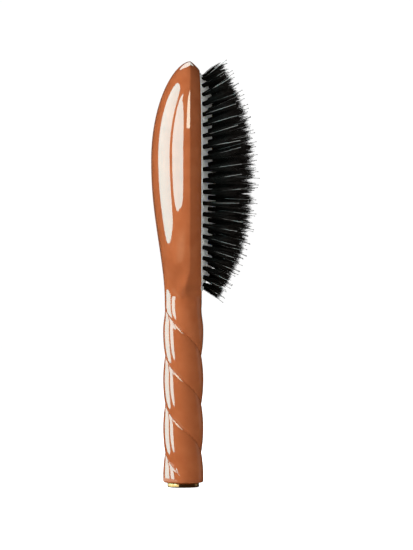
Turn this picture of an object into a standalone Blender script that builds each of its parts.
"""Vanity hairbrush with a pneumatic rubber pad and a twisted handle, standing on its end cap.

Units are metres and +Z is up. The origin is the middle of the end cap's flat underside. +Z runs up
the handle to the tip of the head, and the bristles face +X. Left is -Y, as someone who looks at
the bristles with the head up sees it.
"""
import math

import bmesh
import bpy
from mathutils import Matrix, Vector

# ---- driving dimensions ----

CLEARANCE = 0.0003

# end cap, its stud and the nut cast into the handle
CAP_RADIUS = 0.0084
CAP_HEIGHT = 0.0024
CAP_EDGE_ROUND = 0.0007
SPIGOT_RADIUS = 0.0050
SPIGOT_HEIGHT = 0.0026
STUD_RADIUS = 0.0020
STUD_LENGTH = 0.0150
STUD_CHAMFER = 0.0005
CAP_FLOOR = 0.0012
NUT_RADIUS = 0.0040
NUT_LENGTH = 0.0100

# twisted handle
HANDLE_TOP_Z = 0.0977
HANDLE_RADIUS = 0.01065
NECK_RADIUS = 0.0098
NECK_TAPER_LENGTH = 0.0137
HANDLE_END_ROUND = 0.0010
TWIST_PITCH = 0.0511
FIRST_NOTCH_Z = 0.0183
GROOVE_DEPTH = 0.00128
GROOVE_SHARPNESS = 0.75
GROOVE_FADE_IN_Z = 0.0045
GROOVE_FULL_Z = 0.0125
GROOVE_FADE_OUT_LENGTH = 0.0110

# rubber pad
PAD_HALF_LENGTH = 0.0588
PAD_HALF_WIDTH = 0.0260
PAD_CROWN = 0.0073
PAD_RISE_EASE = 1.3
PAD_RIDGE_HALF_WIDTH = 0.0022
PAD_THICKNESS = 0.0012
PAD_SKIRT_DEPTH = 0.0047
PAD_FLANGE_REACH = 0.0009
PAD_TRAVEL = 0.0045
VENT_RADIUS = 0.0008

# head
RIM_AT_TIP = 0.0050
RIM_AT_SIDE = 0.0070
LIP_WIDTH = 0.0072
LIP_ROUNDNESS = 1.5
CREASE_X = 0.0036
BACK_DEPTH = 0.0170
BACK_PEAK_OFFSET = 0.0115
BACK_TIP_ROUNDNESS = 0.588
BACK_FALL_EASE = 1.15
NECK_FORM_LENGTH = 0.0255
NECK_JOIN_POWER = 3.0
POCKET_DEPTH = 0.0090
FRAME_WIDTH = 0.0022
FRAME_TOP_GAP = 0.0006

# tufts: boar bristle round one long nylon pin, drawn in on a cord behind the pad
TUFT_PITCH = 0.0060
INNER_RING_HALF_WIDTH = 0.0047
TUFT_EDGE_DISTANCE = 0.0029
TUFT_RING_NAMES = ("outer", "second", "third", "inner")
TUFT_SIDES = 5
TUFT_ROOT_RADIUS = 0.00110
TUFT_TIP_RADIUS = 0.00205
PIN_REACH = 0.0024
PIN_RADIUS = 0.0004
CORD_RADIUS = 0.0005
CORD_DEPTH = 0.0011
STEM_PAST_CORD = 0.0007
FAN_ALONG = 0.52
FAN_ACROSS = 0.60
FAN_CENTRE_OFFSET = -0.0045
TIP_HEIGHT = 0.0382
TIP_DROP_END = 0.0190
TIP_DROP_SIDE = 0.0110
TIP_PEAK_OFFSET = 0.0012

# mesh fineness
BODY_POINTS = 24
SECTIONS_PER_TURN = 12
HEAD_SECTIONS = 10
OVAL_POINTS = 36
ROUND_STEPS = 24
ARC_STEPS = 720
SLOPE_STEP = 0.0001
WELD_DISTANCE = 0.00001

# ---- dimensions that follow ----

HANDLE_FOOT_Z = CAP_HEIGHT + CLEARANCE
FRONT_X = NECK_RADIUS
HEAD_HALF_LENGTH = PAD_HALF_LENGTH + RIM_AT_TIP
HEAD_HALF_WIDTH = PAD_HALF_WIDTH + RIM_AT_SIDE
HEAD_CENTRE_Z = HANDLE_TOP_Z + HEAD_HALF_LENGTH
BACK_PEAK_Z = HEAD_CENTRE_Z + BACK_PEAK_OFFSET
TIP_Z = HEAD_CENTRE_Z + HEAD_HALF_LENGTH
POCKET_FLOOR_X = FRONT_X - POCKET_DEPTH
FLANGE_TOP_X = FRONT_X - PAD_SKIRT_DEPTH
STEM_LENGTH = PAD_THICKNESS + CORD_DEPTH + STEM_PAST_CORD
RING_SPACING = ((PAD_HALF_WIDTH - TUFT_EDGE_DISTANCE - INNER_RING_HALF_WIDTH)
                / (len(TUFT_RING_NAMES) - 1))


def smoothstep(value):
    """Ease from 0 to 1, flat at both ends."""
    value = min(max(value, 0.0), 1.0)
    return value * value * (3.0 - 2.0 * value)


def mix(start, end, share):
    return start + (end - start) * share


# ---- scene helpers ----

def collection_named(name):
    collection = bpy.data.collections.new(name)
    bpy.context.scene.collection.children.link(collection)
    return collection


def paint(obj, colour, roughness, metallic=0.0):
    """Give the object a material of its own."""
    material = bpy.data.materials.new(obj.name + "_finish")
    material.use_nodes = True
    shader = material.node_tree.nodes["Principled BSDF"]
    shader.inputs["Base Color"].default_value = (*colour, 1.0)
    shader.inputs["Roughness"].default_value = roughness
    shader.inputs["Metallic"].default_value = metallic
    obj.data.materials.clear()
    obj.data.materials.append(material)


def object_from_bmesh(name, bm, collection):
    mesh = bpy.data.meshes.new(name)
    bmesh.ops.recalc_face_normals(bm, faces=bm.faces)
    bm.to_mesh(mesh)
    bm.free()
    obj = bpy.data.objects.new(name, mesh)
    collection.objects.link(obj)
    return obj


def shade_round(obj, angle=math.radians(40)):
    obj.data.shade_smooth()
    obj.data.set_sharp_from_angle(angle=angle)


def turned(name, profile, collection):
    """Solid of revolution about Z from (radius, z) points that run down its outer side."""
    bm = bmesh.new()
    points = [bm.verts.new((radius, 0.0, z)) for radius, z in profile]
    for first, second in zip(points, points[1:]):
        bm.edges.new((first, second))
    mesh = bpy.data.meshes.new(name)
    bm.to_mesh(mesh)
    bm.free()
    obj = bpy.data.objects.new(name, mesh)
    collection.objects.link(obj)
    screw = obj.modifiers.new("turn", "SCREW")
    screw.steps = ROUND_STEPS
    screw.render_steps = ROUND_STEPS
    screw.use_merge_vertices = True
    screw.merge_threshold = WELD_DISTANCE
    screw.use_smooth_shade = False
    return obj


def boolean(obj, cutter, operation):
    modifier = obj.modifiers.new(operation.lower(), "BOOLEAN")
    modifier.operation = operation
    modifier.object = cutter
    cutter.hide_render = True
    cutter.display_type = "WIRE"


def ring_faces(bm, lower, upper):
    """Quads between two closed loops of as many vertices each."""
    count = len(lower)
    for index in range(count):
        after = (index + 1) % count
        bm.faces.new((lower[index], lower[after], upper[after], upper[index]))


# ---- handle and head ----

def handle_radius(z, angle):
    """Two strands wound left-handed round the axis, with a sharp groove between them."""
    neck = smoothstep((z - HANDLE_TOP_Z + NECK_TAPER_LENGTH) / NECK_TAPER_LENGTH)
    outer = mix(HANDLE_RADIUS, NECK_RADIUS, neck)
    fade_in = smoothstep((z - GROOVE_FADE_IN_Z) / (GROOVE_FULL_Z - GROOVE_FADE_IN_Z))
    fade_out = smoothstep((HANDLE_TOP_Z - z) / GROOVE_FADE_OUT_LENGTH)
    turn = angle + 2.0 * math.pi * (z - FIRST_NOTCH_Z) / TWIST_PITCH
    return outer - GROOVE_DEPTH * fade_in * fade_out * (1.0 - abs(math.sin(turn)) ** GROOVE_SHARPNESS)


def head_half_width(z):
    """The oval outline of the head, run smoothly into the round neck."""
    reach = min(abs(z - HEAD_CENTRE_Z) / HEAD_HALF_LENGTH, 1.0)
    oval = HEAD_HALF_WIDTH * math.sqrt(1.0 - reach * reach)
    if z > HEAD_CENTRE_Z:
        return oval
    neck = NECK_RADIUS * smoothstep((HEAD_CENTRE_Z - z) / HEAD_HALF_LENGTH)
    return (oval ** NECK_JOIN_POWER + neck ** NECK_JOIN_POWER) ** (1.0 / NECK_JOIN_POWER)


def back_depth(z):
    """Distance from the handle's axis plane back to the domed back, at height z."""
    if z > BACK_PEAK_Z:
        rise = min((z - BACK_PEAK_Z) / (TIP_Z - BACK_PEAK_Z), 1.0)
        return (BACK_DEPTH + CREASE_X) * (1.0 - rise * rise) ** BACK_TIP_ROUNDNESS - CREASE_X
    fall = (BACK_PEAK_Z - z) / (BACK_PEAK_Z - HANDLE_TOP_Z)
    return mix(BACK_DEPTH, NECK_RADIUS, smoothstep(fall ** BACK_FALL_EASE))


def edge_distance(y, z):
    """Distance inward from the head's outline, seen from the front."""
    if z > HEAD_CENTRE_Z:
        along = (z - HEAD_CENTRE_Z) / HEAD_HALF_LENGTH
        across = y / HEAD_HALF_WIDTH
        reach = math.hypot(along, across)
        slope = math.hypot(along / HEAD_HALF_LENGTH, across / HEAD_HALF_WIDTH) / reach
        return (1.0 - reach) / slope
    widening = (head_half_width(z + SLOPE_STEP) - head_half_width(z)) / SLOPE_STEP
    return (head_half_width(z) - abs(y)) / math.hypot(1.0, widening)


def head_point(z, angle):
    """Point of the head's section: a flat front with a rolled lip, and a domed back."""
    width = head_half_width(z)
    y = width * math.sin(angle)
    formed = smoothstep((z - HANDLE_TOP_Z) / NECK_FORM_LENGTH)
    crease = CREASE_X * formed
    if math.cos(angle) >= 0.0:
        lip = mix(NECK_RADIUS, LIP_WIDTH, formed)
        inside = min(max(edge_distance(y, z), 0.0) / lip, 1.0)
        round_rise = math.sqrt(1.0 - (1.0 - inside) ** 2)
        lip_rise = 1.0 - (1.0 - inside) ** LIP_ROUNDNESS
        x = crease + (FRONT_X - crease) * mix(round_rise, lip_rise, formed)
    else:
        x = crease + (back_depth(z) + crease) * math.cos(angle)
    return x, y, z


def body_section(bm, z, turn, inset=0.0):
    """One loop of the handle at height z, its points turned with the strands."""
    loop = []
    for index in range(BODY_POINTS):
        angle = 2.0 * math.pi * index / BODY_POINTS + turn
        radius = handle_radius(z, angle) - inset
        loop.append(bm.verts.new((radius * math.cos(angle), radius * math.sin(angle), z)))
    return loop


def make_body(collection, cutters):
    """One piece of acetate: twisted handle, neck, and head with a pocket for the pad."""
    bm = bmesh.new()
    half_turn = 0.5 * TWIST_PITCH
    notches = math.floor((HANDLE_TOP_Z - FIRST_NOTCH_Z) / half_turn)
    twist_end = FIRST_NOTCH_Z + notches * half_turn

    foot = HANDLE_FOOT_Z + HANDLE_END_ROUND
    count = math.ceil((HANDLE_TOP_Z - foot) / TWIST_PITCH * SECTIONS_PER_TURN)
    heights = [mix(foot, HANDLE_TOP_Z, step / count) for step in range(count + 1)]

    def turn_at(z):
        return -2.0 * math.pi * (min(z, twist_end) - twist_end) / TWIST_PITCH

    loops = []
    for degrees in (90, 60):
        z = foot - HANDLE_END_ROUND * math.sin(math.radians(degrees))
        inset = HANDLE_END_ROUND * (1.0 - math.cos(math.radians(degrees)))
        loops.append(body_section(bm, z, turn_at(z), inset))
    for z in heights:
        loops.append(body_section(bm, z, turn_at(z)))

    lower = [mix(HANDLE_TOP_Z, HEAD_CENTRE_Z, step / HEAD_SECTIONS) for step in range(1, HEAD_SECTIONS)]
    upper = []
    for step in range(HEAD_SECTIONS):
        upper.append(HEAD_CENTRE_Z + HEAD_HALF_LENGTH * math.sin(0.5 * math.pi * step / HEAD_SECTIONS))
    for z in lower + upper:
        loop = []
        for index in range(BODY_POINTS):
            angle = 2.0 * math.pi * index / BODY_POINTS
            loop.append(bm.verts.new(head_point(z, angle)))
        loops.append(loop)

    for first, second in zip(loops, loops[1:]):
        ring_faces(bm, first, second)
    bm.faces.new(loops[0])
    tip = bm.verts.new((CREASE_X, 0.0, TIP_Z))
    for index in range(BODY_POINTS):
        bm.faces.new((loops[-1][index], loops[-1][(index + 1) % BODY_POINTS], tip))
    body = object_from_bmesh("handle_body", bm, collection)

    pocket = oval_solid("pocket_cutter", pocket_profile(), cutters)
    boolean(body, pocket, "DIFFERENCE")
    bore = turned("bore_cutter", bore_profile(), cutters)
    boolean(body, bore, "DIFFERENCE")
    paint(body, (0.40, 0.125, 0.045), 0.12)
    shade_round(body, math.radians(50))


def pocket_profile():
    """Pocket outline as (outset from the pad's oval, x), from the mouth to the floor."""
    groove = PAD_FLANGE_REACH + 2.0 * CLEARANCE
    top = FLANGE_TOP_X + CLEARANCE
    bottom = FLANGE_TOP_X - PAD_THICKNESS - CLEARANCE
    mouth = FRONT_X + POCKET_DEPTH
    return [(CLEARANCE, mouth), (CLEARANCE, top), (groove, top), (groove, bottom),
            (CLEARANCE, bottom), (CLEARANCE, POCKET_FLOOR_X)]


def bore_profile():
    """Stepped bore up from the handle's foot, for the cap's spigot and the nut."""
    spigot = SPIGOT_RADIUS + CLEARANCE
    nut = NUT_RADIUS + CLEARANCE
    step_z = CAP_HEIGHT + SPIGOT_HEIGHT + CLEARANCE
    top_z = CAP_FLOOR + CLEARANCE + STUD_LENGTH + CLEARANCE
    return [(0.0, top_z), (nut, top_z), (nut, step_z), (spigot, step_z), (spigot, 0.0), (0.0, 0.0)]


# ---- oval pieces of the head ----

def oval_loop(bm, outset, x):
    """Loop of vertices on the pad's oval, grown by outset, in the plane at x."""
    loop = []
    for index in range(OVAL_POINTS):
        angle = 2.0 * math.pi * index / OVAL_POINTS
        y = (PAD_HALF_WIDTH + outset) * math.cos(angle)
        z = HEAD_CENTRE_Z + (PAD_HALF_LENGTH + outset) * math.sin(angle)
        loop.append(bm.verts.new((x, y, z)))
    return loop


def oval_solid(name, profile, collection):
    bm = bmesh.new()
    loops = [oval_loop(bm, outset, x) for outset, x in profile]
    for first, second in zip(loops, loops[1:]):
        ring_faces(bm, first, second)
    bm.faces.new(loops[0])
    bm.faces.new(loops[-1])
    return object_from_bmesh(name, bm, collection)


def pad_height(inset):
    """Height of the domed pad over its rim, at a distance in from its edge."""
    share = min(inset / PAD_HALF_WIDTH, 1.0)
    return PAD_CROWN * (1.0 - (1.0 - share) ** 2) ** PAD_RISE_EASE


def make_pad(collection, cutters, tufts):
    """Domed rubber sheet with a skirt down the pocket wall and a flange in its groove."""
    bm = bmesh.new()
    loops = [oval_loop(bm, PAD_FLANGE_REACH, FLANGE_TOP_X)]
    loops.append(oval_loop(bm, 0.0, FLANGE_TOP_X))
    between_rings = [ring_inset(ring + 0.5) for ring in range(len(TUFT_RING_NAMES) - 1)]
    for inset in [0.0] + between_rings + [PAD_HALF_WIDTH - PAD_RIDGE_HALF_WIDTH]:
        loops.append(oval_loop(bm, -inset, FRONT_X + pad_height(inset)))
    for first, second in zip(loops, loops[1:]):
        ring_faces(bm, first, second)
    bm.faces.new(loops[-1])
    bmesh.ops.recalc_face_normals(bm, faces=bm.faces)
    middle = max(bm.faces, key=lambda face: face.calc_center_median().x)
    if middle.normal.x < 0.0:
        bmesh.ops.reverse_faces(bm, faces=bm.faces)
    mesh = bpy.data.meshes.new("cushion_pad")
    bm.to_mesh(mesh)
    bm.free()
    pad = bpy.data.objects.new("cushion_pad", mesh)
    collection.objects.link(pad)
    shell = pad.modifiers.new("rubber", "SOLIDIFY")
    shell.thickness = PAD_THICKNESS
    shell.offset = -1.0
    shell.use_even_offset = True

    bm = bmesh.new()
    for base, direction, _ in tufts:
        add_hole(bm, base, direction, TUFT_ROOT_RADIUS + CLEARANCE)
    vent = Vector((FRONT_X + PAD_CROWN, 0.0, HEAD_CENTRE_Z))
    add_hole(bm, vent, Vector((1.0, 0.0, 0.0)), VENT_RADIUS)
    holes = object_from_bmesh("hole_cutter", bm, cutters)
    boolean(pad, holes, "DIFFERENCE")
    paint(pad, (0.60, 0.63, 0.58), 0.55)
    shade_round(pad)


def make_frame(collection):
    """Stiff oval ring that holds the pad's skirt out, below the outer tufts when the pad is pressed."""
    outer = -(PAD_THICKNESS + CLEARANCE)
    inner = outer - FRAME_WIDTH
    low = POCKET_FLOOR_X + CLEARANCE
    outer_height = pad_height(TUFT_EDGE_DISTANCE)
    outer_travel = PAD_TRAVEL * outer_height / pad_height(ring_inset(len(TUFT_RING_NAMES) - 1))
    high = FRONT_X + outer_height - STEM_LENGTH - outer_travel - FRAME_TOP_GAP
    bm = bmesh.new()
    loops = []
    for outset, x in ((outer, low), (outer, high), (inner, high), (inner, low)):
        loops.append(oval_loop(bm, outset, x))
    for first, second in zip(loops, loops[1:] + loops[:1]):
        ring_faces(bm, first, second)
    frame = object_from_bmesh("pad_frame", bm, collection)
    paint(frame, (0.62, 0.52, 0.38), 0.6)


# ---- tufts ----

def along(direction, centre):
    """Matrix that stands a piece made along Z at a point, along a direction."""
    turn = direction.to_track_quat("Z", "Y").to_matrix().to_4x4()
    return Matrix.Translation(centre) @ turn


def add_hole(bm, base, direction, radius):
    bmesh.ops.create_cone(
        bm, cap_ends=True, segments=TUFT_SIDES, radius1=radius, radius2=radius,
        depth=6.0 * PAD_THICKNESS, matrix=along(direction, base))


def add_tuft(bm, base, direction, length):
    """Flared bundle from its root behind the pad to its tips, then in to the end of its pin."""
    middle = base + direction * 0.5 * (length - STEM_LENGTH)
    made = bmesh.ops.create_cone(
        bm, cap_ends=True, segments=TUFT_SIDES, radius1=TUFT_ROOT_RADIUS,
        radius2=TUFT_TIP_RADIUS, depth=length + STEM_LENGTH, matrix=along(direction, middle))
    faces = {face for vertex in made["verts"] for face in vertex.link_faces}
    end = max(faces, key=lambda face: (face.calc_center_median() - base).dot(direction))
    grown = bmesh.ops.extrude_face_region(bm, geom=[end])
    bm.faces.remove(end)
    fresh = [item for item in grown["geom"] if isinstance(item, bmesh.types.BMVert)]
    tip = base + direction * length
    for vertex in fresh:
        outward = (vertex.co - tip) * (PIN_RADIUS / TUFT_TIP_RADIUS)
        vertex.co = tip + direction * PIN_REACH + outward


def ring_inset(ring):
    """Distance of a ring of tufts in from the pad's edge. The outer ring is number 0."""
    return TUFT_EDGE_DISTANCE + ring * RING_SPACING


def tuft_at(ring, angle):
    """Base point, direction and length of the tuft at an angle round a ring."""
    inset = ring_inset(ring)
    y = (PAD_HALF_WIDTH - inset) * math.cos(angle)
    rise = (PAD_HALF_LENGTH - inset) * math.sin(angle)
    base = Vector((FRONT_X + pad_height(inset), y, HEAD_CENTRE_Z + rise))
    direction = Vector((
        1.0,
        FAN_ACROSS * y / PAD_HALF_WIDTH,
        FAN_ALONG * (rise - FAN_CENTRE_OFFSET) / PAD_HALF_LENGTH)).normalized()
    drop = TIP_DROP_END * ((rise - TIP_PEAK_OFFSET) / PAD_HALF_LENGTH) ** 2
    drop += TIP_DROP_SIDE * (y / PAD_HALF_WIDTH) ** 2
    length = (TIP_HEIGHT - drop - base.x) / direction.x
    return base, direction, length


def ring_angles(ring):
    """Angles of a ring's tufts, an equal way apart. Where a ring passes the brush's sides, its
    tufts stand halfway between those of the rings next to it."""
    inset = ring_inset(ring)
    half_length = PAD_HALF_LENGTH - inset
    half_width = PAD_HALF_WIDTH - inset
    travelled = [0.0]
    for step in range(ARC_STEPS):
        middle = 0.5 * math.pi + 2.0 * math.pi * (step + 0.5) / ARC_STEPS
        speed = math.hypot(half_width * math.sin(middle), half_length * math.cos(middle))
        travelled.append(travelled[-1] + speed * 2.0 * math.pi / ARC_STEPS)
    count = 2 * round(travelled[-1] / TUFT_PITCH / 2.0)
    offset = (0.5 * (ring % 2) - 0.25 * count) % 1.0
    angles = []
    step = 0
    for tuft in range(count):
        goal = travelled[-1] * (tuft + offset) / count
        while travelled[step + 1] < goal:
            step += 1
        part = (goal - travelled[step]) / (travelled[step + 1] - travelled[step])
        angles.append(0.5 * math.pi + 2.0 * math.pi * (step + part) / ARC_STEPS)
    return angles


def tuft_groups():
    """Tufts by node: each ring in quarters, and the narrow inner ring in halves."""
    groups = {}
    for ring, ring_name in enumerate(TUFT_RING_NAMES):
        tufts = [tuft_at(ring, angle) for angle in ring_angles(ring)]
        if ring < len(TUFT_RING_NAMES) - 1:
            arcs = ("tip_left", "heel_left", "heel_right", "tip_right")
        else:
            arcs = ("left", "right")
        for index, arc in enumerate(arcs):
            first = round(index * len(tufts) / len(arcs))
            last = round((index + 1) * len(tufts) / len(arcs))
            groups["tufts_" + ring_name + "_" + arc] = tufts[first:last]
    return groups


def make_tuft_group(name, tufts, collection, cutters):
    """Draw cord behind the pad, with the group's tufts united to it."""
    curve = bpy.data.curves.new(name, "CURVE")
    curve.dimensions = "3D"
    curve.bevel_depth = CORD_RADIUS
    curve.bevel_resolution = 0
    curve.use_fill_caps = True
    spline = curve.splines.new("POLY")
    spline.points.add(len(tufts) - 1)
    for point, (base, direction, _) in zip(spline.points, tufts):
        point.co = (*(base - direction * (PAD_THICKNESS + CORD_DEPTH)), 1.0)
    guide = bpy.data.objects.new(name + "_cord", curve)
    cutters.objects.link(guide)
    bpy.context.view_layer.update()
    mesh = bpy.data.meshes.new_from_object(guide.evaluated_get(bpy.context.evaluated_depsgraph_get()))
    bpy.data.objects.remove(guide)
    bm = bmesh.new()
    bm.from_mesh(mesh)
    bpy.data.meshes.remove(mesh)
    bmesh.ops.remove_doubles(bm, verts=bm.verts, dist=WELD_DISTANCE)
    group = object_from_bmesh(name, bm, collection)

    bm = bmesh.new()
    for base, direction, length in tufts:
        add_tuft(bm, base, direction, length)
    bundles = object_from_bmesh(name + "_bundles", bm, cutters)
    boolean(group, bundles, "UNION")
    paint(group, (0.012, 0.011, 0.012), 0.45)


# ---- end cap ----

def make_end_cap(collection):
    """Turned brass cap with a spigot, bored for its stud."""
    bore = STUD_RADIUS + CLEARANCE
    top = CAP_HEIGHT + SPIGOT_HEIGHT
    profile = [(0.0, CAP_FLOOR), (bore, CAP_FLOOR), (bore, top), (SPIGOT_RADIUS, top),
               (SPIGOT_RADIUS, CAP_HEIGHT)]
    for centre_z, start in ((CAP_HEIGHT - CAP_EDGE_ROUND, 90), (CAP_EDGE_ROUND, 0)):
        for step in range(4):
            angle = math.radians(start - 30 * step)
            radius = CAP_RADIUS - CAP_EDGE_ROUND + CAP_EDGE_ROUND * math.cos(angle)
            profile.append((radius, centre_z + CAP_EDGE_ROUND * math.sin(angle)))
    profile.append((0.0, 0.0))
    cap = turned("end_cap", profile, collection)
    paint(cap, (0.55, 0.36, 0.13), 0.22, 1.0)
    shade_round(cap)


def make_stud(collection):
    """Steel stud that the cap screws up on."""
    low = CAP_FLOOR + CLEARANCE
    high = low + STUD_LENGTH
    narrow = STUD_RADIUS - STUD_CHAMFER
    profile = [(0.0, high), (narrow, high), (STUD_RADIUS, high - STUD_CHAMFER),
               (STUD_RADIUS, low + STUD_CHAMFER), (narrow, low), (0.0, low)]
    stud = turned("cap_stud", profile, collection)
    paint(stud, (0.55, 0.55, 0.56), 0.35, 1.0)
    shade_round(stud)


def make_nut(collection):
    """Brass nut set in the handle, which the stud runs in."""
    low = CAP_HEIGHT + SPIGOT_HEIGHT + 2.0 * CLEARANCE
    high = low + NUT_LENGTH
    bore = STUD_RADIUS + CLEARANCE
    profile = [(bore, high), (NUT_RADIUS, high), (NUT_RADIUS, low), (bore, low), (bore, high)]
    nut = turned("handle_nut", profile, collection)
    paint(nut, (0.50, 0.36, 0.16), 0.35, 1.0)
    shade_round(nut)


def main():
    for obj in list(bpy.data.objects):
        bpy.data.objects.remove(obj, do_unlink=True)
    parts = collection_named("vanity_hairbrush")
    cutters = collection_named("cutters")
    make_body(parts, cutters)
    make_end_cap(parts)
    make_stud(parts)
    make_nut(parts)
    make_frame(parts)
    groups = tuft_groups()
    make_pad(parts, cutters, [tuft for group in groups.values() for tuft in group])
    for name, tufts in groups.items():
        make_tuft_group(name, tufts, parts, cutters)


main()
